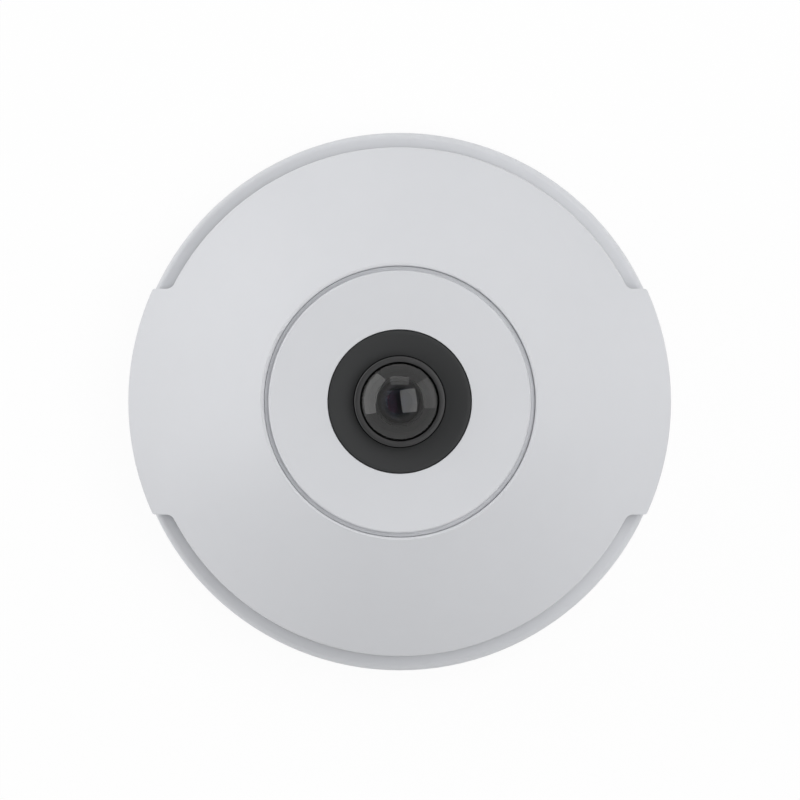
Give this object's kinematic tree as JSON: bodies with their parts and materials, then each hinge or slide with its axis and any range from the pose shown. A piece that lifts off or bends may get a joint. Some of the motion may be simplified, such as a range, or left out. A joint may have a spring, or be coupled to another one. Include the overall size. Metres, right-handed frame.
{
  "type": "fisheye ip camera",
  "caption": "Round ceiling-mounted network camera with a fisheye lens, a winged cover on spring clips and a twist-lock mounting plate.",
  "frame": {"origin": "centre of the mounting plate's back face, on the lens axis", "axes": "+Z along the lens axis, away from the ceiling or wall; +X through one wing of the cover; +Y towards the camera's upper side as pictured"},
  "size_m": [0.101, 0.1002, 0.0435],
  "materials": {
    "mounting_plate": "fine-textured moulded plastic, dark grey",
    "housing_plastic": "satin moulded polycarbonate, cool light grey",
    "grommet_rubber": "soft black rubber",
    "circuit_board": "green solder mask over glass fibre",
    "jack_plastic": "black glass-filled plastic",
    "contact_gold": "gold-plated spring wire",
    "ferrite": "dull black ferrite",
    "chip_package": "matt black epoxy package",
    "thermal_pad": "soft blue-grey silicone pad",
    "heat_sink": "plain extruded aluminium",
    "capacitor_can": "bright aluminium can",
    "connector_plastic": "natural nylon",
    "sheet_steel": "stamped stainless sheet",
    "card_plastic": "matt black card body",
    "switch_plastic": "black switch body",
    "button_plastic": "off-white switch plunger",
    "light_lens": "small clear green indicator",
    "screw_steel": "zinc-plated steel",
    "turret_plastic": "fine-textured light grey moulding",
    "flex_film": "amber polyimide film",
    "sensor_glass": "coated sensor cover glass",
    "holder_plastic": "black glass-filled lens mount",
    "filter_glass": "coated filter glass with a faint magenta tint",
    "lens_metal": "black anodised aluminium",
    "lens_glass": "coated optical glass",
    "disc_plastic": "satin moulded polycarbonate, cool light grey",
    "bezel_plastic": "satin black moulded plastic",
    "seal_rubber": "black rubber ring",
    "cover_plastic": "satin moulded polycarbonate, cool light grey",
    "spring_steel": "bright spring steel strip"
  },
  "bodies": {
    "mounting_plate": {"mounting_plate": "mounting_plate"},
    "camera_body": {"base_housing": "housing_plastic", "cable_grommet": "grommet_rubber", "main_board": "circuit_board", "network_jack": "jack_plastic", "jack_contacts": "contact_gold", "power_transformer": "ferrite", "power_coil": "ferrite", "image_processor": "chip_package", "thermal_pad": "thermal_pad", "heat_sink": "heat_sink", "memory_chips": "chip_package", "capacitors": "capacitor_can", "board_connector": "connector_plastic", "card_slot": "sheet_steel", "switch_housing": "switch_plastic", "status_light": "light_lens", "board_screws": "screw_steel", "turret_frame": "turret_plastic", "turret_screws": "screw_steel", "sensor_board": "circuit_board", "sensor_screws": "screw_steel", "sensor_connector": "connector_plastic", "flex_cable": "flex_film", "image_sensor": "chip_package", "sensor_glass": "sensor_glass", "lens_holder": "holder_plastic", "holder_screws": "screw_steel", "ir_filter": "filter_glass", "lens_barrel": "lens_metal", "lens_lock_ring": "lens_metal", "rear_glass": "lens_glass", "middle_glass": "lens_glass", "front_glass": "lens_glass", "lens_retaining_ring": "lens_metal", "centre_plate": "disc_plastic", "lens_bezel": "bezel_plastic", "bezel_seal": "seal_rubber"},
    "cover": {"front_cover": "cover_plastic", "cover_clips": "spring_steel"},
    "card": {"memory_card": "card_plastic"},
    "button": {"reset_button": "button_plastic"},
    "entry_lid": {"side_entry_lid": "housing_plastic"}
  },
  "joints": [
    {"name": "body_twist", "type": "hinge", "parent": "mounting_plate", "child": "camera_body", "pos_m": [0, 0, 0], "axis": [0, 0, 1], "range_deg": [0, 16]},
    {"name": "cover_lift", "type": "slide", "parent": "camera_body", "child": "cover", "axis": [0, 0, 1], "range_m": [0, 0.033], "deforming": ["cover_clips"]},
    {"name": "card_slide", "type": "slide", "parent": "camera_body", "child": "card", "axis": [0, 1, 0], "range_m": [0, 0.012]},
    {"name": "button_press", "type": "slide", "parent": "camera_body", "child": "button", "axis": [0, 0, -1], "range_m": [0, 0.0003], "stiffness_N_per_m": 1000, "springref_m": -0.0006},
    {"name": "entry_lid_slide", "type": "slide", "parent": "camera_body", "child": "entry_lid", "axis": [0, -1, 0], "range_m": [0, 0.008]}
  ]
}
